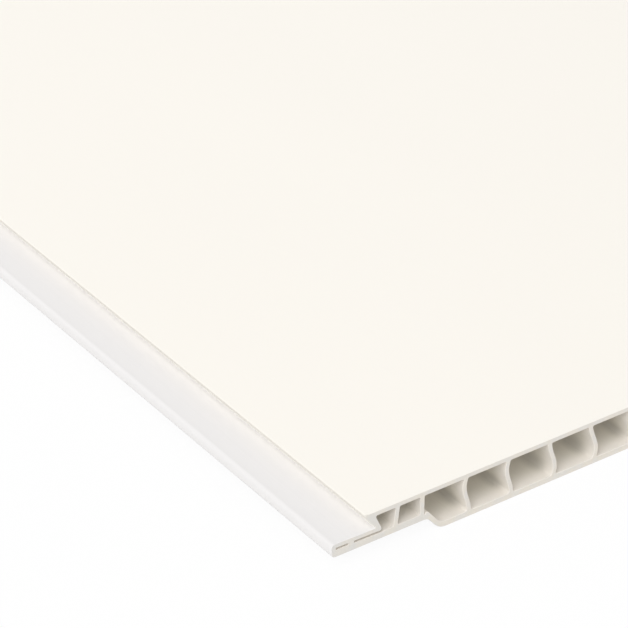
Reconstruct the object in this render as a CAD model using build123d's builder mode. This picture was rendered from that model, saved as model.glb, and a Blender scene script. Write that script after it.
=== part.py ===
from build123d import *
import math
import os

# A hollow wall panel: one plastic extrusion with a tongue along one long edge and a groove
# with a nailing flange along the other. It lies face up, +Z is the decorative face, +X runs
# from the tongue to the groove and +Y along the length. Sizes are in millimetres.

# Stock
length = 2700.0
cover_width = 250.0  # from one panel's face edge to the next one's, once joined
thickness = 8.0

# Walls
face_skin = 0.82
back_skin = 1.05
web_wall = 0.78
inner_radius = 0.25

# Tongue, and the undercut wall that the face edge overhangs
tongue_reach = 5.8  # tip of the tongue to the edge of the face
tongue_thickness = 2.45  # at the tip
tongue_fall = 0.2  # the top plate sinks this much towards its root
tongue_top_plate = 0.8
tongue_side_wall = 0.85
tongue_rib = 1.0
tongue_slot_height = 0.36
tongue_slot_width = 2.3  # the outer slot, the inner one runs on into the first chamber
tongue_tip_radius = 0.7
tongue_heel_radius = 0.85
undercut = 2.4  # the wall's foot stands this far behind the face edge
joint_wall = 0.98  # across, at half its height
joint_wall_flare = 0.57  # more than that at the face, and less at the foot
slot_mouth_radius = 0.35  # round the wall's foot, where the inner slot opens into the chamber
slot_mouth_run = 0.6  # the slot's floor meets the chamber's over this run
nose_radius = 0.3

# Raised floor beside the tongue: it leaves room under it for the next panel's flange
raised_floor = 2.75
raised_floor_plate = 1.2
raised_floor_end = 17.67  # from the tongue's tip to where the floor starts down
step_run = 2.28
step_wall = 0.85
step_top_radius = 1.4
step_foot_radius = 2.8
small_web_place = 12.5
small_web_lean = 0.4
last_small_web_place = 17.05
web_foot_nick = 0.35

# Main cells: each web is an arc from the face down to the back
cell_pitch = 8.1
narrowest_cell = 3.5
web_shift = 0.06
web_shift_swing = -0.08
web_lean = 0.87  # the foot stands this much nearer the groove than the head
web_lean_swing = 0.17
web_bow_swing = 0.58
web_wave_pitch = 4.2  # webs to one wave of the swing
web_wave_start = 1.5

# Groove, its hollow lip and the nailing flange
lip_gap = 0.2  # hairline between two joined faces
tongue_gap_above = 0.2
tongue_gap_below = 0.25
tongue_gap_ahead = 0.5
groove_wall = 1.05
groove_radius = 0.2
lip_under_skin = 0.8
lip_edge_radius = 0.3
lip_point_radius = 0.4
flange_gap = 1.0  # to the next panel's step
flange_top_skin = 0.85
flange_end_wall = 1.2
flange_rib = 0.9
flange_slots = 3
flange_edge_radius = 0.5

# Heights above the back
ceiling = thickness - face_skin
floor = back_skin
small_floor = raised_floor + raised_floor_plate
tongue_tip_top = raised_floor + tongue_thickness
tongue_root_top = tongue_tip_top - tongue_fall
flange_top = raised_floor - tongue_gap_below
lip_under = tongue_tip_top + tongue_gap_above

# Places across the width, from the tip of the tongue
face_edge = tongue_reach
tongue_root = face_edge + undercut
undercut_slope = undercut / (thickness - tongue_root_top)
lip_edge = face_edge + cover_width - lip_gap
groove_back = cover_width - tongue_gap_ahead
flange_end = cover_width + raised_floor_end - flange_gap
overall_width = flange_end


def tongue_top(x):
    """Height of the tongue's top plate at x."""
    return tongue_tip_top - tongue_fall * x / tongue_root


def undercut_face(x_at_face, z):
    """The slanted joint face that meets the decorative face at x_at_face, at height z."""
    return x_at_face + (thickness - z) * undercut_slope


def web_wave(number):
    return -math.cos(2 * math.pi * (number - web_wave_start) / web_wave_pitch)


def web_face(number, side):
    """Head, middle and foot of one web's face: side is 0 on its right and 1 on its left."""
    shift = web_shift + web_shift_swing * web_wave(number)
    head = last_small_web_place + number * cell_pitch + shift - side * web_wall
    lean = web_lean + web_lean_swing * web_wave(number)
    bow = web_bow_swing * web_wave(number)
    middle_height = (ceiling + floor) / 2
    return (head, ceiling), (head + lean / 2 + bow, middle_height), (head + lean, floor)


def rounded(*corners, radius=inner_radius):
    """A flat shape with rounded corners."""
    with BuildSketch() as shape:
        with BuildLine():
            FilletPolyline(*corners, radius=radius, close=True)
        make_face()
    return shape.sketch


def outer_shape():
    """The section's outline, one corner a line with its radius."""
    step_foot = raised_floor_end + step_run
    outline = [
        ((0, raised_floor), tongue_heel_radius),
        ((0, tongue_tip_top), tongue_tip_radius),
        ((tongue_root, tongue_root_top), groove_radius),
        ((face_edge, thickness), nose_radius),
        ((lip_edge, thickness), lip_edge_radius),
        ((undercut_face(lip_edge, lip_under), lip_under), lip_point_radius),
        ((groove_back, lip_under), groove_radius),
        ((groove_back, flange_top), groove_radius),
        ((flange_end, flange_top), flange_edge_radius),
        ((flange_end, 0), flange_edge_radius),
        ((step_foot, 0), step_foot_radius),
        ((raised_floor_end, raised_floor), step_top_radius),
    ]
    return rounded(*(corner for corner, _ in outline), radius=[size for _, size in outline])


def slot_top(x):
    """Height of the tongue's slots at x, under the top plate."""
    return tongue_top(x) - tongue_top_plate


def tip_slot():
    """The flat slot beside the tongue's tip."""
    start = tongue_side_wall
    end = start + tongue_slot_width
    return rounded(
        (start, slot_top(start) - tongue_slot_height),
        (start, slot_top(start)),
        (end, slot_top(end)),
        (end, slot_top(end) - tongue_slot_height),
        radius=tongue_slot_height / 3,
    )


def root_hollow():
    """The tongue's inner slot and the first chamber: one hollow that turns up behind the wall."""
    start = tongue_side_wall + tongue_slot_width + tongue_rib
    wall_at_face = undercut_face(face_edge, ceiling) + joint_wall + joint_wall_flare
    wall_at_floor = undercut_face(face_edge, small_floor) + joint_wall - joint_wall_flare
    mouth_top = slot_top(wall_at_floor)
    share_down = (ceiling - mouth_top) / (ceiling - small_floor)
    mouth = wall_at_face + (wall_at_floor - wall_at_face) * share_down
    corners = [
        ((start, slot_top(start) - tongue_slot_height), tongue_slot_height / 3),
        ((start, slot_top(start)), tongue_slot_height / 3),
        ((mouth, mouth_top), slot_mouth_radius),
        ((wall_at_face, ceiling), inner_radius),
        ((small_web_place - web_wall, ceiling), inner_radius),
        ((small_web_place - small_web_lean - web_wall, small_floor), inner_radius),
        ((mouth + slot_mouth_run, small_floor), inner_radius),
        ((mouth, mouth_top - tongue_slot_height), inner_radius),
    ]
    return rounded(*(corner for corner, _ in corners), radius=[size for _, size in corners])


def second_chamber():
    """The chamber over the raised floor, past the leaning small web."""
    last_web_left = last_small_web_place - web_wall
    return rounded(
        (small_web_place - small_web_lean, small_floor),
        (small_web_place, ceiling),
        (last_web_left, ceiling),
        (last_web_left, small_floor),
    )


def step_cell():
    """The first main cell, whose floor goes down the step."""
    slope_length = math.hypot(step_run, raised_floor)
    wall_across = step_wall * slope_length / raised_floor
    wall_top = raised_floor_end + wall_across - (small_floor - raised_floor) * step_run / raised_floor
    wall_foot = raised_floor_end + wall_across + (raised_floor - floor) * step_run / raised_floor
    head, middle, foot = web_face(1, 1)
    with BuildSketch() as cell:
        with BuildLine():
            arc = ThreePointArc(head, middle, foot)
            FilletPolyline(
                arc @ 1,
                (wall_foot, floor),
                (wall_top, small_floor),
                (last_small_web_place + web_foot_nick, small_floor),
                (last_small_web_place, small_floor - web_foot_nick),
                (last_small_web_place, ceiling),
                arc @ 0,
                radius=[
                    step_foot_radius - step_wall,
                    inner_radius,
                    web_foot_nick / 4,
                    web_foot_nick / 4,
                    inner_radius,
                ],
            )
        make_face()
        web_corners = cell.vertices().sort_by(Axis.X)[-2:]
        fillet(web_corners, radius=inner_radius)
    return cell.sketch


def main_cells():
    """The even cells between bowed webs, and the narrow one that ends at the groove's wall."""
    groove_wall_face = groove_back - groove_wall
    room = groove_wall_face - last_small_web_place - narrowest_cell
    webs = int(room / cell_pitch)
    with BuildSketch() as cells:
        for number in range(1, webs + 1):
            left_head, left_middle, left_foot = web_face(number, 0)
            right_head, right_middle, right_foot = web_face(number + 1, 1)
            if number == webs:
                right_head, right_foot = (groove_wall_face, ceiling), (groove_wall_face, floor)
            with BuildLine():
                ThreePointArc(left_foot, left_middle, left_head)
                Line(left_head, right_head)
                if number < webs:
                    ThreePointArc(right_head, right_middle, right_foot)
                else:
                    Line(right_head, right_foot)
                Line(right_foot, left_foot)
            make_face()
        fillet(cells.vertices(), radius=inner_radius)
    return cells.sketch


def groove_side_hollows():
    """The slot inside the lip and the row of slots inside the nailing flange."""
    lip_floor = lip_under + lip_under_skin
    lip_slot = rounded(
        (groove_back, lip_floor),
        (groove_back, ceiling),
        (undercut_face(lip_edge, ceiling) - joint_wall, ceiling),
        (undercut_face(lip_edge, lip_floor) - joint_wall, lip_floor),
        radius=inner_radius / 2,
    )
    top = flange_top - flange_top_skin
    room = flange_end - flange_end_wall - groove_back
    slot_width = room / flange_slots - flange_rib
    with BuildSketch() as hollows:
        add(lip_slot)
        for number in range(flange_slots):
            start = groove_back + flange_rib + number * (slot_width + flange_rib)
            end = start + slot_width
            slot = rounded(
                (start, floor),
                (start, top),
                (end, top),
                (end, floor),
                radius=(top - floor) / 3,
            )
            add(slot)
    return hollows.sketch


# The section stands on the near sawn end and runs the whole length
near_end = Plane(
    origin=(-overall_width / 2, -length / 2, 0),
    x_dir=(1, 0, 0),
    z_dir=(0, -1, 0),
)

with BuildPart() as panel:
    with BuildSketch(near_end) as section:
        add(outer_shape())
        add(tip_slot(), mode=Mode.SUBTRACT)
        add(root_hollow(), mode=Mode.SUBTRACT)
        add(second_chamber(), mode=Mode.SUBTRACT)
        add(step_cell(), mode=Mode.SUBTRACT)
        add(main_cells(), mode=Mode.SUBTRACT)
        add(groove_side_hollows(), mode=Mode.SUBTRACT)
    extrude(amount=-length)

panel.part.label = "panel"

os.makedirs("parts", exist_ok=True)
export_step(panel.part, "parts/panel.step")

print("section area", round(section.sketch.area, 2))
print("overall width", round(overall_width, 2))
print("volume", round(panel.part.volume))
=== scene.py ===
import math

import bpy
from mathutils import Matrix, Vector


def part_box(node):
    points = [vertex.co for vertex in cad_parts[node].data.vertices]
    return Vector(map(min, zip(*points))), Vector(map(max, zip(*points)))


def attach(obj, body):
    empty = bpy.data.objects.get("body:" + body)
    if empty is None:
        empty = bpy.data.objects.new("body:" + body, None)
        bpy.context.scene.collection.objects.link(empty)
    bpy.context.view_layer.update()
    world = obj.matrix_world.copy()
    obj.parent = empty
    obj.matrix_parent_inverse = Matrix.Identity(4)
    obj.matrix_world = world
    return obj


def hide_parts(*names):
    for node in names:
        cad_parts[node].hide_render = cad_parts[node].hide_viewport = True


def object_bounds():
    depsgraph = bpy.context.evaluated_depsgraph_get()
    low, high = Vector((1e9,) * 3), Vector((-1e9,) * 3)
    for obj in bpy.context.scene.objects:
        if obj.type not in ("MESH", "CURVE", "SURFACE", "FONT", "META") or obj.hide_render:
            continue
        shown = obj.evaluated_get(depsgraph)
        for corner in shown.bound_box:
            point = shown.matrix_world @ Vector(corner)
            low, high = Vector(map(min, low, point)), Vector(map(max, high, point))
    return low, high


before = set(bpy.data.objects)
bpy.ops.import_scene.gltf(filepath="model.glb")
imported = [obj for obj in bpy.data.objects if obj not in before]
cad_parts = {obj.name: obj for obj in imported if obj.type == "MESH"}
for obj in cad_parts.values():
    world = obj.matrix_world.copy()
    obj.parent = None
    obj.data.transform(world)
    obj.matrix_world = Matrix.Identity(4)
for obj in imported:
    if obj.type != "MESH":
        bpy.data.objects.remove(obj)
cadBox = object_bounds()
mm = 0.001


# Node trees: a Wire is one output socket that takes arithmetic, a Graph adds the nodes

class Wire:
    def __init__(self, graph, socket):
        self.graph = graph
        self.socket = socket

    def math(self, operation, *values):
        return self.graph.make("ShaderNodeMath", {"operation": operation}, dict(enumerate(values)))

    def __add__(self, other):
        return self.math("ADD", self, other)

    def __radd__(self, other):
        return self.math("ADD", other, self)

    def __sub__(self, other):
        return self.math("SUBTRACT", self, other)

    def __rsub__(self, other):
        return self.math("SUBTRACT", other, self)

    def __mul__(self, other):
        return self.math("MULTIPLY", self, other)

    def __rmul__(self, other):
        return self.math("MULTIPLY", other, self)

    def __truediv__(self, other):
        return self.math("DIVIDE", self, other)

    def __gt__(self, other):
        return self.math("GREATER_THAN", self, other)

    def __lt__(self, other):
        return self.math("LESS_THAN", self, other)

    def cos(self):
        return self.math("COSINE", self)

    def sin(self):
        return self.math("SINE", self)

    def abs(self):
        return self.math("ABSOLUTE", self)

    def fraction(self):
        return self.math("FRACT", self)

    def least(self, other):
        return self.math("MINIMUM", self, other)

    def smooth(self, low, high):  # 0 below low, 1 above high
        ends = {"Value": self, "From Min": low, "From Max": high}
        return self.graph.make("ShaderNodeMapRange", {"interpolation_type": "SMOOTHSTEP"}, ends)

    def past(self, place, soft):  # 0 before place, 1 past it, turning within a soft share of it
        return self.smooth(place * (1 - soft), place * (1 + soft))

    def out(self, name):  # another output of the same node
        return Wire(self.graph, self.graph.find(self.socket.node.outputs, name))


class Graph:
    def __init__(self, tree):
        self.tree = tree

    def find(self, sockets, key):
        if isinstance(key, int):
            return sockets[key]
        return next(s for s in sockets if s.enabled and key in (s.name, s.identifier))

    def make(self, kind, settings=None, sockets=None):
        node = self.tree.nodes.new(kind)
        for name, value in (settings or {}).items():
            setattr(node, name, value)
        for key, values in (sockets or {}).items():
            socket = self.find(node.inputs, key)
            for value in values if isinstance(values, list) else [values]:
                if isinstance(value, Wire):
                    self.tree.links.new(value.socket, socket)
                else:
                    socket.default_value = value
        return Wire(self, next((s for s in node.outputs if s.enabled), None) or node.inputs[0])

    def vector(self, x, y, z):
        return self.make("ShaderNodeCombineXYZ", None, {"X": x, "Y": y, "Z": z})

    def split(self, vector):
        parts = self.make("ShaderNodeSeparateXYZ", None, {"Vector": vector})
        return parts.out("X"), parts.out("Y"), parts.out("Z")

    def scale(self, vector, factor):
        return self.make("ShaderNodeVectorMath", {"operation": "SCALE"}, {0: vector, "Scale": factor})

    def noise(self, place, counts, detail, roughness):  # counts in a metre: across, along and up
        spread = self.make("ShaderNodeVectorMath", {"operation": "MULTIPLY"}, {0: place, 1: counts})
        return self.make("ShaderNodeTexNoise", None,
                         {"Vector": spread, "Scale": 1.0, "Detail": detail, "Roughness": roughness})

    def bump(self, height):  # in metres
        return self.make("ShaderNodeBump", None, {"Height": height, "Strength": 1.0, "Distance": 1.0})

    def blend(self, factor, first, second):  # colours
        return self.make("ShaderNodeMix", {"data_type": "RGBA"},
                         {"Factor_Float": factor, "A": first, "B": second})

    def tint(self, shade, factor):  # a colour times a grey value
        return self.scale(shade if isinstance(shade, Wire) else shade[:3], factor)


def between(first, second, factor):  # the first value at 0, the second at 1
    return first * (1 - factor) + second * factor


def layered(shares, *patterns):  # a base, then the share that each pattern adds
    total = shares[0]
    for share, pattern in zip(shares[1:], patterns):
        total = total + share * pattern
    return total


def colour(red, green, blue):  # from 0 to 255 as seen on a screen, to Blender's linear values
    def linear(part):
        part = part / 255
        return part / 12.92 if part <= 0.04045 else ((part + 0.055) / 1.055) ** 2.4
    return linear(red), linear(green), linear(blue), 1.0


def addObject(name, data):
    made = bpy.data.objects.new(name, data)
    bpy.context.scene.collection.objects.link(made)
    return made


def turnTo(made, direction, front):  # its front axis points along the direction
    made.rotation_mode = "QUATERNION"
    made.rotation_quaternion = direction.to_track_quat(front, "Y")


# The camera, at the photograph's place: it looks at the corner from the tongue's side

shot = {
    "picture": 628,  # pixels a side
    "azimuth": -35.09,
    "elevation": 31.682,
    "lens": 169.67,
    "sensor": 36.0,
    "tipAt": (331.184, 574.286),  # where the picture shows the tongue's tip, on the floor
    "tipDistance": 435.255 * mm,  # along the view
    "nearest": 0.02,  # clipping, in metres
    "farthest": 200,
}


def makeCamera():
    azimuth, elevation = math.radians(shot["azimuth"]), math.radians(shot["elevation"])
    back = Vector((math.sin(azimuth) * math.cos(elevation), -math.cos(azimuth) * math.cos(elevation),
                   math.sin(elevation)))
    right = (-back).cross(Vector((0, 0, 1))).normalized()
    up = right.cross(-back)
    pixel = shot["tipDistance"] * shot["sensor"] / shot["lens"] / shot["picture"]  # its size at the tip
    across = (shot["tipAt"][0] - shot["picture"] / 2) * pixel
    down = (shot["tipAt"][1] - shot["picture"] / 2) * pixel
    tip = Vector(cadBox[0])
    data = bpy.data.cameras.new("camera")
    data.lens, data.sensor_width = shot["lens"], shot["sensor"]
    data.clip_start, data.clip_end = shot["nearest"], shot["farthest"]
    camera = addObject("camera", data)
    camera.location = tip - right * across + up * down + back * shot["tipDistance"]
    turnTo(camera, -back, "-Z")
    bpy.context.scene.camera = camera


makeCamera()
print("camera placed")


# The section: every size that shapes the extrusion

section = {
    "faceSkin": 0.82 * mm,
    "backSkin": 1.05 * mm,
    "web": 0.78 * mm,
    "innerRadius": 0.25 * mm,
    "footRadius": 0.6 * mm,  # where a web's shaded side meets the back
    "coverWidth": 250 * mm,
    # tongue and the undercut wall beside it
    "tongueReach": 5.8 * mm,
    "tongueThickness": 2.45 * mm,
    "tongueFall": 0.2 * mm,
    "tonguePlate": 0.8 * mm,
    "tongueSide": 0.85 * mm,
    "tongueRib": 1.0 * mm,
    "slotHeight": 0.36 * mm,
    "slotWidth": 2.3 * mm,
    "mouthRadius": 0.35 * mm,  # the inner slot opens into the first chamber
    "mouthRun": 0.6 * mm,
    "tipRadius": 0.7 * mm,
    "heelRadius": 0.85 * mm,
    "undercut": 2.4 * mm,
    "jointWall": 0.98 * mm,
    "jointFlare": 0.57 * mm,
    "noseRadius": 0.3 * mm,
    # raised floor and its step
    "raisedFloor": 2.75 * mm,
    "raisedPlate": 1.2 * mm,
    "raisedEnd": 17.67 * mm,
    "stepRun": 2.28 * mm,
    "stepWall": 0.85 * mm,
    "stepTopRadius": 1.4 * mm,
    "stepFootRadius": 2.8 * mm,
    "smallWeb": 12.5 * mm,
    "smallLean": 0.4 * mm,
    "firstWeb": 17.05 * mm,
    "nick": 0.35 * mm,
    # main cells: the webs' shift, lean and bow swing in a wave along the row
    "pitch": 8.1 * mm,
    "narrowest": 3.5 * mm,
    "shift": 0.06 * mm,
    "shiftSwing": -0.08 * mm,
    "lean": 0.87 * mm,
    "leanSwing": 0.17 * mm,
    "bowSwing": 0.58 * mm,
    "kink": 0.1 * mm,
    "wavePitch": 4.2,  # webs a wave
    "waveStart": 1.5,
    # groove, lip and nailing flange
    "lipGap": 0.2 * mm,
    "gapAbove": 0.2 * mm,
    "gapBelow": 0.25 * mm,
    "gapAhead": 0.5 * mm,
    "grooveWall": 1.05 * mm,
    "grooveRadius": 0.2 * mm,
    "lipUnder": 0.8 * mm,
    "lipEdgeRadius": 0.3 * mm,
    "lipPointRadius": 0.4 * mm,
    "flangeSkin": 0.85 * mm,
    "flangeEnd": 1.2 * mm,
    "flangeRib": 0.9 * mm,
    "flangeSlots": 3,
    "flangeRadius": 0.5 * mm,
    # the mesh
    "sawEdge": 0.06 * mm,  # how far the sawn ends' edges are drawn in
    "sideSteps": 11,  # points along a web
    "roundSteps": 3,  # in the smallest rounding
    "roundStepsAMetre": 2500,  # more of them by its radius
    "weld": 0.002 * mm,
    "sharpAngle": 28.0,  # degrees, edges past it stay crisp
}


def webWave(number):
    return -math.cos(2 * math.pi * (number - section["waveStart"]) / section["wavePitch"])


def webPlace(number, down):  # a web's right face, with down from 0 at the head to 1 at the foot
    wave = webWave(number)
    head = section["firstWeb"] + section["shift"] + number * section["pitch"] + section["shiftSwing"] * wave
    lean = section["lean"] + section["leanSwing"] * wave
    bow = section["bowSwing"] * wave * math.sin(math.pi * down)
    kink = section["kink"] * math.sin(2 * math.pi * down)
    return head + lean * down * down * (3 - 2 * down) + bow - kink


def sectionOutlines(thickness, width):  # each a list of corners: across, up, radius
    s = section
    ceiling, floor = thickness - s["faceSkin"], s["backSkin"]
    smallFloor = s["raisedFloor"] + s["raisedPlate"]
    tipTop = s["raisedFloor"] + s["tongueThickness"]
    rootTop = tipTop - s["tongueFall"]
    root = s["tongueReach"] + s["undercut"]
    slope = s["undercut"] / (thickness - rootTop)
    flangeTop = s["raisedFloor"] - s["gapBelow"]
    lipUnder = tipTop + s["gapAbove"]
    lipEdge = s["tongueReach"] + s["coverWidth"] - s["lipGap"]
    grooveBack = s["coverWidth"] - s["gapAhead"]

    def undercutFace(edge, height):
        return edge + (thickness - height) * slope

    def slotTop(x):  # under the tongue's top plate, which sinks towards its root
        return tipTop - s["tongueFall"] * x / root - s["tonguePlate"]

    def box(left, right, low, high, radius):
        return [(left, low, radius), (left, high, radius), (right, high, radius), (right, low, radius)]

    outlines = []
    # the outer shape
    outlines.append([
        (0, s["raisedFloor"], s["heelRadius"]),
        (0, tipTop, s["tipRadius"]),
        (root, rootTop, s["grooveRadius"]),
        (s["tongueReach"], thickness, s["noseRadius"]),
        (lipEdge, thickness, s["lipEdgeRadius"]),
        (undercutFace(lipEdge, lipUnder), lipUnder, s["lipPointRadius"]),
        (grooveBack, lipUnder, s["grooveRadius"]),
        (grooveBack, flangeTop, s["grooveRadius"]),
        (width, flangeTop, s["flangeRadius"]),
        (width, 0, s["flangeRadius"]),
        (s["raisedEnd"] + s["stepRun"], 0, s["stepFootRadius"]),
        (s["raisedEnd"], s["raisedFloor"], s["stepTopRadius"]),
    ])
    # the slot beside the tongue's tip
    corner, slotCorner = s["innerRadius"], s["slotHeight"] / 3
    start, end = s["tongueSide"], s["tongueSide"] + s["slotWidth"]
    outlines.append([
        (start, slotTop(start) - s["slotHeight"], slotCorner),
        (start, slotTop(start), slotCorner),
        (end, slotTop(end), slotCorner),
        (end, slotTop(end) - s["slotHeight"], slotCorner),
    ])
    # the inner slot, which turns up behind the joint wall into the first chamber
    start = end + s["tongueRib"]
    wallHead = undercutFace(s["tongueReach"], ceiling) + s["jointWall"] + s["jointFlare"]
    wallFoot = undercutFace(s["tongueReach"], smallFloor) + s["jointWall"] - s["jointFlare"]
    mouthTop = slotTop(wallFoot)
    mouth = wallHead + (wallFoot - wallHead) * (ceiling - mouthTop) / (ceiling - smallFloor)
    webFoot = s["smallWeb"] - s["smallLean"]
    outlines.append([
        (start, slotTop(start) - s["slotHeight"], slotCorner),
        (start, slotTop(start), slotCorner),
        (mouth, mouthTop, s["mouthRadius"]),
        (wallHead, ceiling, corner),
        (s["smallWeb"] - s["web"], ceiling, corner),
        (webFoot - s["web"], smallFloor, corner),
        (mouth + s["mouthRun"], smallFloor, corner),
        (mouth, mouthTop - s["slotHeight"], corner),
    ])
    # the second chamber over the raised floor
    lastLeft = s["firstWeb"] - s["web"]
    outlines.append([
        (webFoot, smallFloor, corner),
        (s["smallWeb"], ceiling, corner),
        (lastLeft, ceiling, corner),
        (lastLeft, smallFloor, corner),
    ])
    # the cell over the step, closed by the first bowed web
    run = s["stepRun"] / s["raisedFloor"]
    stepInner = s["raisedEnd"] + s["stepWall"] * math.hypot(1, run)
    nickRadius = s["nick"] / 4
    cell = [
        (stepInner + (s["raisedFloor"] - floor) * run, floor, s["stepFootRadius"] - s["stepWall"]),
        (stepInner + (s["raisedFloor"] - smallFloor) * run, smallFloor, corner),
        (s["firstWeb"] + s["nick"], smallFloor, nickRadius),
        (s["firstWeb"], smallFloor - s["nick"], nickRadius),
        (s["firstWeb"], ceiling, corner),
    ]
    steps = s["sideSteps"] + 1
    for step in range(steps + 1):
        down = step / steps
        radius = {0: corner, steps: s["footRadius"]}.get(step, 0)
        cell.append((webPlace(1, down) - s["web"], ceiling + (floor - ceiling) * down, radius))
    outlines.append(cell)
    # the lip's slot, then the flange's row of slots
    lipFloor, lipCorner = lipUnder + s["lipUnder"], corner / 2
    outlines.append([
        (grooveBack, lipFloor, lipCorner),
        (grooveBack, ceiling, lipCorner),
        (undercutFace(lipEdge, ceiling) - s["jointWall"], ceiling, lipCorner),
        (undercutFace(lipEdge, lipFloor) - s["jointWall"], lipFloor, lipCorner),
    ])
    flangeCeiling = flangeTop - s["flangeSkin"]
    slotPitch = (width - s["flangeEnd"] - grooveBack) / s["flangeSlots"]
    for number in range(s["flangeSlots"]):
        start = grooveBack + s["flangeRib"] + number * slotPitch
        outlines.append(box(start, start + slotPitch - s["flangeRib"], floor, flangeCeiling,
                            (flangeCeiling - floor) / 3))
    return outlines


def outlineCurve(outlines, shift):  # corners only: each point's radius is the rounding that it asks for
    curve = bpy.data.curves.new("outlines", "CURVE")
    curve.dimensions = "3D"
    for outline in outlines:
        spline = curve.splines.new("POLY")
        spline.points.add(len(outline) - 1)
        spline.use_cyclic_u = True
        for point, (across, up, radius) in zip(spline.points, outline):
            point.co = (across + shift, up, 0, 1)
            point.radius = radius
    return addObject("outlines", curve)


# The extrusion's tree. It works on its back: x across, y up, z towards the near end

def extrusionTree(inputs):
    tree = bpy.data.node_groups.new("extrusion", "GeometryNodeTree")
    tree.interface.new_socket("Outlines", in_out="INPUT", socket_type="NodeSocketGeometry")
    tree.interface.new_socket("Panel", in_out="OUTPUT", socket_type="NodeSocketGeometry")
    kinds = {float: "NodeSocketFloat", int: "NodeSocketInt", bpy.types.Material: "NodeSocketMaterial"}
    for name, value in inputs.items():
        tree.interface.new_socket(name, in_out="INPUT", socket_type=kinds[type(value)])
    g = Graph(tree)
    given = g.make("NodeGroupInput")

    def join(*parts):
        return g.make("GeometryNodeJoinGeometry", None, {"Geometry": list(parts)})

    def flip(mesh):
        return g.make("GeometryNodeFlipFaces", None, {"Mesh": mesh})

    def paint(part, material, chosen=True):
        return g.make("GeometryNodeSetMaterial", None,
                      {"Geometry": part, "Selection": chosen, "Material": given.out(material)})

    def slide(part, reach):
        return g.make("GeometryNodeTransform", None,
                      {"Geometry": part, "Translation": g.vector(0.0, 0.0, reach)})

    # cells: one square a cell, bent to the webs on either side of it
    square = g.make("GeometryNodeCurvePrimitiveQuadrilateral", {"mode": "RECTANGLE"},
                    {"Width": 1.0, "Height": 1.0})
    square = g.make("GeometryNodeSubdivideCurve", None,
                    {"Curve": square, "Cuts": given.out("Side Steps")})
    cells = g.make("GeometryNodeDuplicateElements", {"domain": "SPLINE"},
                   {"Geometry": square, "Amount": given.out("Cells")})
    number = cells.out("Duplicate Index") + 1
    x, y, _ = g.split(g.make("GeometryNodeInputPosition"))
    side = 0.499  # just inside the square's side
    corner = (x.abs() > side) * (y.abs() > side)
    foot = (x > side) * (y < -side)
    size = given.out("Corner Radius") * (corner - foot) + given.out("Foot Radius") * foot
    cells = g.make("GeometryNodeSetCurveRadius", None, {"Curve": cells, "Radius": size})
    across, down = x + 0.5, 0.5 - y
    ease = down * down * (3 - 2 * down)
    kink = given.out("Kink") * (down * 2 * math.pi).sin()

    def rightFace(web):
        wave = -1 * ((web - given.out("Wave Start")) * (2 * math.pi) / given.out("Wave Pitch")).cos()
        head = given.out("First Web") + web * given.out("Pitch") + given.out("Shift Swing") * wave
        lean = given.out("Lean") + given.out("Lean Swing") * wave
        return head + lean * ease + given.out("Bow Swing") * wave * (down * math.pi).sin() - kink

    inner = number < given.out("Cells")  # all cells but the last end at a bowed web
    left = rightFace(number)
    right = between(given.out("Last Wall"), rightFace(number + 1) - given.out("Web"), inner)
    up = between(given.out("Ceiling"), given.out("Floor"), down)
    cells = g.make("GeometryNodeSetPosition", None,
                   {"Geometry": cells, "Position": g.vector(between(left, right, across), up, 0.0)})

    # the outer outline is the first one, all others are hollows
    first = g.make("GeometryNodeInputIndex") < 0.5
    parted = g.make("GeometryNodeSeparateGeometry", {"domain": "CURVE"},
                    {"Geometry": given.out("Outlines"), "Selection": first})
    hollows = join(parted.out("Inverted"), cells)
    radius = g.make("GeometryNodeInputRadius")
    steps = 1 + (radius > 0) * (section["roundSteps"] + radius * section["roundStepsAMetre"])

    def rounded(curves):
        return g.make("GeometryNodeFilletCurve", {"mode": "POLY"},
                      {"Curve": curves, "Count": steps, "Radius": radius, "Limit Radius": True})

    outer, hollows = rounded(parted), rounded(hollows)
    normal = g.make("GeometryNodeInputNormal")
    _, _, facing = g.split(normal)

    def fill(curves):  # flat, at the near end
        flat = g.make("GeometryNodeFillCurve", {"mode": "TRIANGLES"}, {"Curve": curves})
        return slide(flat, given.out("Length") * 0.5)

    def walls(curves):  # pushed out in steps, with a short one at either end for the sawn edge
        wall = flip(fill(curves))
        edge = given.out("Saw Edge")
        top = True
        for reach in (edge, given.out("Length") - 2 * edge, edge):
            wall = g.make("GeometryNodeExtrudeMesh", {"mode": "FACES"},
                          {"Mesh": wall, "Selection": top, "Offset": g.vector(0.0, 0.0, -1 * reach),
                           "Individual": False})
            top = wall.out("Top")
        return g.make("GeometryNodeDeleteGeometry", {"domain": "FACE"},
                      {"Geometry": wall, "Selection": facing.abs() > 0.5})

    nearEnd = fill(join(outer, hollows))
    farEnd = slide(flip(nearEnd), -1 * given.out("Length"))
    skin = paint(join(walls(outer), nearEnd, farEnd), "Skin")  # the ends get their own at the last
    cell = paint(flip(walls(hollows)), "Cell Wall")
    panel = g.make("GeometryNodeMergeByDistance", None,
                   {"Geometry": join(skin, cell), "Distance": section["weld"]})

    # the first and last ring draw in by the sawn edge, away from the walls they end
    wall = g.scale(normal, facing.abs() < 0.5)
    wall = g.make("GeometryNodeFieldOnDomain", {"data_type": "FLOAT_VECTOR", "domain": "FACE"},
                  {"Value": wall})
    wall = g.make("ShaderNodeVectorMath", {"operation": "NORMALIZE"}, {0: wall})
    _, _, along = g.split(g.make("GeometryNodeInputPosition"))
    atEnd = given.out("Length") * 0.5 - along.abs() < given.out("Saw Edge") * 0.5
    inward = g.scale(wall, -1 * given.out("Saw Edge"))
    panel = g.make("GeometryNodeSetPosition", None,
                   {"Geometry": panel, "Selection": atEnd, "Offset": inward})

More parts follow.
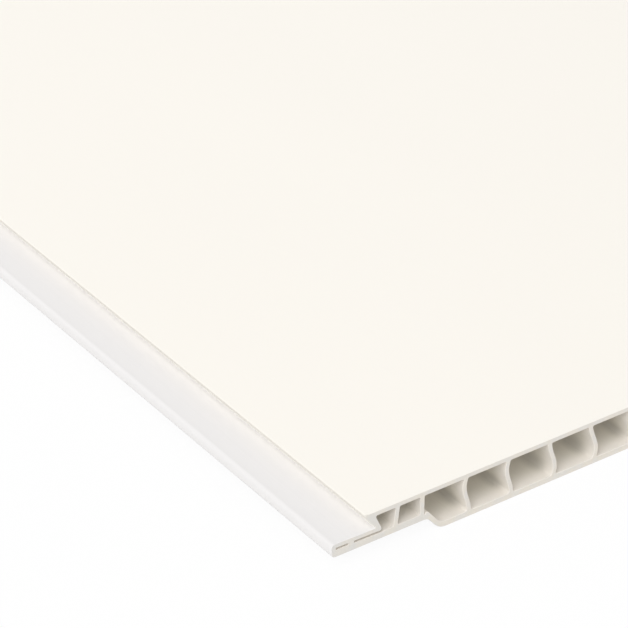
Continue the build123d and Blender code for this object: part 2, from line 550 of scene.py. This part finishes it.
    # shading, the turn from its back to lying along Y, and the sawn faces at its very ends
    panel = g.make("GeometryNodeSetShadeSmooth", {"domain": "FACE"},
                   {"Geometry": panel, "Shade Smooth": True})
    sharp = g.make("GeometryNodeInputMeshEdgeAngle") > math.radians(section["sharpAngle"])
    panel = g.make("GeometryNodeSetShadeSmooth", {"domain": "EDGE"},
                   {"Geometry": panel, "Selection": sharp, "Shade Smooth": False})
    panel = g.make("GeometryNodeTransform", None, {"Geometry": panel, "Rotation": (math.pi / 2, 0, 0)})
    panel = g.make("GeometryNodeRealizeInstances", None, {"Geometry": panel})
    _, along, _ = g.split(g.make("GeometryNodeInputPosition"))
    endFace = given.out("Length") * 0.5 - along.abs() < given.out("Saw Edge") * 0.25
    panel = paint(panel, "Sawn", endFace)
    g.make("NodeGroupOutput", None, {"Panel": panel})
    return tree


def makePanel(skin, cellWall, sawn):
    low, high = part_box("panel")
    thickness, width, length = high.z - low.z, high.x - low.x, high.y - low.y
    lastWall = section["coverWidth"] - section["gapAhead"] - section["grooveWall"]
    room = lastWall - section["firstWeb"] - section["narrowest"]
    inputs = {
        "Length": length,
        "Cells": int(room / section["pitch"]),
        "Side Steps": section["sideSteps"],
        "First Web": section["firstWeb"] + section["shift"] + low.x,
        "Last Wall": lastWall + low.x,
        "Pitch": section["pitch"],
        "Web": section["web"],
        "Ceiling": thickness - section["faceSkin"],
        "Floor": section["backSkin"],
        "Lean": section["lean"],
        "Lean Swing": section["leanSwing"],
        "Bow Swing": section["bowSwing"],
        "Shift Swing": section["shiftSwing"],
        "Kink": section["kink"],
        "Wave Pitch": section["wavePitch"],
        "Wave Start": section["waveStart"],
        "Corner Radius": section["innerRadius"],
        "Foot Radius": section["footRadius"],
        "Saw Edge": section["sawEdge"],
        "Skin": skin,
        "Cell Wall": cellWall,
        "Sawn": sawn,
    }
    outlines = outlineCurve(sectionOutlines(thickness, width), low.x)
    modifier = outlines.modifiers.new("extrusion", "NODES")
    tree = extrusionTree(inputs)
    modifier.node_group = tree
    for item in tree.interface.items_tree:
        if item.in_out == "INPUT" and item.name in inputs:
            modifier[item.identifier] = inputs[item.name]
    evaluated = outlines.evaluated_get(bpy.context.evaluated_depsgraph_get())
    mesh = bpy.data.meshes.new_from_object(evaluated)
    outlines.modifiers.remove(modifier)
    bpy.data.objects.remove(outlines)
    mesh.name = "wallPanel"
    panel = addObject("wallPanel", mesh)
    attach(panel, "root")
    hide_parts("panel")


# Finishes. A pattern has its counts in a metre across, along and up, then its detail and roughness.
# Shade, roughness and relief have a base, then what each pattern named beside them adds

finish = {
    # the skin: cream film on the face and its undercut, bare white plastic on the rest
    "film": colour(253, 249, 241),
    "body": colour(240, 238, 237),
    "noseShade": colour(229, 225, 216),  # painted shade under the nose's rounding, against its highlight
    "wallFilm": colour(248, 245, 238),  # the film below the painted nose shade, on the undercut wall
    "noseShadeTop": 0.25 * mm,  # below the face: the painted nose shade is full
    "noseShadeFoot": 1.1 * mm,  # and ends
    "noseShadeSoft": 0.3,
    "filmFoot": 0.08 * mm,  # the film ends this far above the tongue
    "filmSoft": 0.5,
    "cornerShadeReach": 1.2 * mm,  # reach of the painted shade on the film's corner at the nose, against its highlight
    "cornerShadeSoft": 0.2,
    "wallCutShade": 0.12,  # painted shade: share of the undercut wall's light taken out near the cut
    "wallCutShadeReach": 2.0 * mm,  # behind the cut
    "tipShade": 0.97,  # painted shade on the rounding of the tongue's tip, against its highlight
    "tipWidth": 0.88 * mm,
    "tipSoft": 0.5,
    "tipRise": 0.3 * mm,  # height over which that begins
    "dieLines": ((2600, 4, 2600), 3.0, 0.5),  # drawn along the length by the die
    "skinGrain": ((5200, 5200, 5200), 2.0, 0.5),
    "skinCloud": ((35, 12, 35), 2.0, 0.5),
    "filmShade": (0.99, 0.012, 0.008),  # cloud, grain
    "bodyShade": (0.985, 0.03),  # lines
    "filmRoughness": (0.36, 0.08),  # grain
    "bodyRoughness": (0.42, 0.1),  # lines
    "filmRelief": (0.0, 0.004 * mm),  # grain
    "bodyRelief": (0.0, 0.006 * mm, 0.002 * mm),  # lines, grain
    "skinSpecular": 0.4,
    # the hollows: never calibrated or touched, so a little rougher than the outside; their colour is
    # painted darker and creamier as shade
    "cell": colour(234, 229, 221),
    "cellDeep": colour(232, 228, 216),  # painted shade: darker and warmer further in
    "mouthLight": 1.0,  # painted light: the hollows are lighter for a few millimetres behind the cut
    "deepLight": 0.86,
    "mouthDepth": 4.2 * mm,
    "mouthFade": (0.1, 1.0),  # from and to, in shares of that depth
    "chamberShade": 0.93,  # painted shade: the low chambers by the joint wall are darker, sooner
    "chamberDepth": 3.2 * mm,
    "creaseShade": 0.23,  # painted shade along the foot of each web, out of the mouth's light
    "creaseWidth": 1.5 * mm,
    "creaseWidthSoft": 0.6,  # a soft value is the share of a distance within which a shade turns
    "creaseHeight": 2.4 * mm,
    "creaseHeightSoft": 0.375,
    "creaseShift": 0.375 * mm,  # past the web's foot
    "creaseFade": (0.15, 0.95),
    "glow": 0.054,  # painted glow for the daylight that comes through the thin skins
    "glowTint": (1.0, 0.93, 0.86, 1.0),
    "glowGain": 0.2,  # by this much more of it further in
    "glowFade": (4.5 * mm, 8.0 * mm),
    "cellLines": ((1900, 3, 1900), 3.0, 0.5),
    "cellCloud": ((420, 90, 420), 3.0, 0.5),
    "cellShade": (0.97, 0.03, 0.03),  # lines, cloud
    "cellRoughness": (0.5, 0.1),  # cloud
    "cellRelief": (0.0, 0.012 * mm, 0.03 * mm),  # lines, cloud
    "cellSpecular": 0.35,
    # the sawn ends
    "sawn": colour(236, 230, 219),
    "sawnCool": colour(230, 228, 224),
    "coolPatches": 0.6,  # how far the patches turn cool
    "coolBand": (0.38, 0.62),
    "coolTip": 0.4,  # and the end towards the tongue's tip
    "coolReach": (2 * mm, 12 * mm),
    "sawnPatches": ((380, 380, 380), 2.0, 0.5),
    "sawnStrokes": ((1500, 1500, 260), 4.0, 0.6),  # the blade's fine strokes
    "sawnGrain": ((6500, 6500, 6500), 3.0, 0.6),
    "sawnShade": (0.93, 0.08, 0.06),  # strokes, grain
    "sawnRoughness": (0.62, 0.15),  # grain
    "sawnRelief": (0.0, 0.02 * mm, 0.012 * mm),  # strokes, grain
    "sawnSpecular": 0.3,
}


def clearTree(owner):  # a material's or a world's
    owner.use_nodes = True
    owner.node_tree.nodes.clear()
    return Graph(owner.node_tree)


def newMaterial(name):
    material = bpy.data.materials.new(name)
    return material, clearTree(material)


def finishWith(graph, sockets):
    shader = graph.make("ShaderNodeBsdfPrincipled", None, sockets)
    graph.make("ShaderNodeOutputMaterial", None, {"Surface": shader})


def skinMaterial(low, high):
    material, g = newMaterial("creamFilmOnWhite")
    place = g.make("ShaderNodeTexCoord").out("Object")
    x, y, z = g.split(place)
    across, behind, under = x - low.x, high.y - y.abs(), high.z - z
    lines = g.noise(place, *finish["dieLines"])
    grain = g.noise(place, *finish["skinGrain"])
    cloud = g.noise(place, *finish["skinCloud"])

    # where the film lies, and the painted shade under the nose and on its sawn corner, against their
    # highlights
    root = section["tongueReach"] + section["undercut"]
    tipTop = section["raisedFloor"] + section["tongueThickness"]
    tongueTop = tipTop - section["tongueFall"] / root * across.least(root)
    film = (z - tongueTop).past(finish["filmFoot"], finish["filmSoft"])
    wall = under.past(finish["noseShadeFoot"], finish["noseShadeSoft"])
    cornerReach = finish["cornerShadeReach"]
    # painted shade on the film's corner at the nose, against its highlight
    short, near = cornerReach - (across - section["tongueReach"]).least(cornerReach), cornerReach - behind.least(cornerReach)
    cornerShade = ((short * short + near * near) / cornerReach ** 2).past(1.0, finish["cornerShadeSoft"])
    # painted shade under the nose's rounding
    noseShade = under.smooth(0.0, finish["noseShadeTop"])
    noseShade = noseShade + cornerShade - noseShade * cornerShade
    shade = g.blend(noseShade, finish["film"], g.blend(wall, finish["noseShade"], finish["wallFilm"]))
    # painted shade on the undercut wall near the cut
    wallShadeNearCut = 1 - finish["wallCutShade"] * wall * (1 - behind.smooth(0.0, finish["wallCutShadeReach"]))
    cream = g.tint(shade, wallShadeNearCut * layered(finish["filmShade"], cloud, grain))

    # the bare plastic, with painted shade on the tongue's tip against its highlight
    tip = 1 - across.past(finish["tipWidth"], finish["tipSoft"])
    tip = tip * (z - tipTop + section["tipRadius"]).smooth(0.0, finish["tipRise"])
    grey = layered(finish["bodyShade"], lines) * between(1, finish["tipShade"], tip)
    body = g.tint(finish["body"], grey)

    bodyRough = layered(finish["bodyRoughness"], lines)
    filmRough = layered(finish["filmRoughness"], grain)
    bodyRelief = layered(finish["bodyRelief"], lines, grain)
    filmRelief = layered(finish["filmRelief"], grain)
    finishWith(g, {
        "Base Color": g.blend(film, body, cream),
        "Roughness": between(bodyRough, filmRough, film),
        "Specular IOR Level": finish["skinSpecular"],
        "Normal": g.bump(between(bodyRelief, filmRelief, film)),
    })
    return material


def cellMaterial(low, high):
    material, g = newMaterial("cellWhite")
    place = g.make("ShaderNodeTexCoord").out("Object")
    x, y, z = g.split(place)
    across, behind = x - low.x, high.y - y.abs()
    lines = g.noise(place, *finish["cellLines"])
    cloud = g.noise(place, *finish["cellCloud"])

    # painted light: how much of the mouth's light is left, less in the low chambers
    tall = across.smooth(section["firstWeb"] - section["web"], section["firstWeb"])
    inward = behind / between(finish["chamberDepth"], finish["mouthDepth"], tall)
    deep = inward.smooth(*finish["mouthFade"])
    light = between(finish["mouthLight"], finish["deepLight"], deep)
    light = light * between(finish["chamberShade"], 1, tall)

    # painted shade in the crease along the foot of each web
    foot = section["firstWeb"] + section["shift"] + section["lean"] - section["web"]
    foot = foot + finish["creaseShift"]
    gap = (1 - ((across - foot) / section["pitch"]).fraction()) * section["pitch"]
    crease = 1 - gap.past(finish["creaseWidth"], finish["creaseWidthSoft"])
    crease = crease * (1 - z.past(finish["creaseHeight"], finish["creaseHeightSoft"]))
    light = light * (1 - finish["creaseShade"] * crease * inward.smooth(*finish["creaseFade"]))

    # painted shade: the hollows' colour darkens further in
    shade = g.blend(deep, finish["cell"], finish["cellDeep"])
    # painted glow, stronger further in
    glow = 1 + finish["glowGain"] * behind.smooth(*finish["glowFade"])
    finishWith(g, {
        "Base Color": g.tint(shade, light * layered(finish["cellShade"], lines, cloud)),
        "Roughness": layered(finish["cellRoughness"], cloud),
        "Specular IOR Level": finish["cellSpecular"],
        "Emission Color": g.tint(finish["glowTint"], glow),
        "Emission Strength": finish["glow"],
        "Normal": g.bump(layered(finish["cellRelief"], lines, cloud)),
    })
    return material


def sawnMaterial(low):
    material, g = newMaterial("sawnWhite")
    place = g.make("ShaderNodeTexCoord").out("Object")
    x, _, _ = g.split(place)
    patches = g.noise(place, *finish["sawnPatches"])
    strokes = g.noise(place, *finish["sawnStrokes"])
    grain = g.noise(place, *finish["sawnGrain"])
    cool = finish["coolPatches"] * patches.smooth(*finish["coolBand"])
    cool = cool + finish["coolTip"] * (1 - (x - low.x).smooth(*finish["coolReach"]))
    shade = g.blend(cool, finish["sawn"], finish["sawnCool"])
    finishWith(g, {
        "Base Color": g.tint(shade, layered(finish["sawnShade"], strokes, grain)),
        "Roughness": layered(finish["sawnRoughness"], grain),
        "Specular IOR Level": finish["sawnSpecular"],
        "Normal": g.bump(layered(finish["sawnRelief"], strokes, grain)),
    })
    return material


def makeFinishes():
    low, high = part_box("panel")
    return skinMaterial(low, high), cellMaterial(low, high), sawnMaterial(low)


skin, cellWall, sawn = makeFinishes()
print("finishes made")
makePanel(skin, cellWall, sawn)
print("panel extruded")


# Stage: a white floor that keeps a soft shadow, a white sky and one broad soft sun

stage = {
    "floorSize": 120.0,
    "floorGrey": 0.9,  # what the floor gives back to the panel
    "floorGlow": 0.94,  # share of the floor's own white in the picture
    "sky": 0.592,
    "sun": 1.55,
    "sunFrom": (-0.575, -0.36, 0.735),
    "sunAngle": 38.0,
}
white = (1, 1, 1, 1)


def makeFloor():
    half = stage["floorSize"] / 2
    corners = [(-half, -half, 0), (half, -half, 0), (half, half, 0), (-half, half, 0)]
    mesh = bpy.data.meshes.new("floor")
    mesh.from_pydata(corners, [], [(0, 1, 2, 3)])
    floor = addObject("floor", mesh)
    material, g = newMaterial("floorWhite")
    seen = g.make("ShaderNodeLightPath").out("Is Camera Ray")
    grey = (stage["floorGrey"],) * 3 + (1,)
    matte = g.make("ShaderNodeBsdfDiffuse", None, {"Color": g.blend(seen, grey, white)})
    glow = g.make("ShaderNodeEmission", None, {"Color": white, "Strength": 1.0})
    mixed = g.make("ShaderNodeMixShader", None, {0: seen * stage["floorGlow"], 1: matte, 2: glow})
    g.make("ShaderNodeOutputMaterial", None, {"Surface": mixed})
    mesh.materials.append(material)


def makeLight():
    world = bpy.data.worlds.new("sky")
    bpy.context.scene.world = world
    g = clearTree(world)
    path = g.make("ShaderNodeLightPath")
    seen = path.math("MAXIMUM", path.out("Is Camera Ray"), path.out("Is Glossy Ray"))
    strength = between(stage["sky"], 1, seen)
    sky = g.make("ShaderNodeBackground", None, {"Color": white, "Strength": strength})
    g.make("ShaderNodeOutputWorld", None, {"Surface": sky})
    data = bpy.data.lights.new("sun", "SUN")
    data.energy, data.angle = stage["sun"], math.radians(stage["sunAngle"])
    turnTo(addObject("sun", data), Vector(stage["sunFrom"]), "Z")


makeFloor()
makeLight()
bpy.context.scene.view_settings.view_transform = "Standard"
print("stage set")
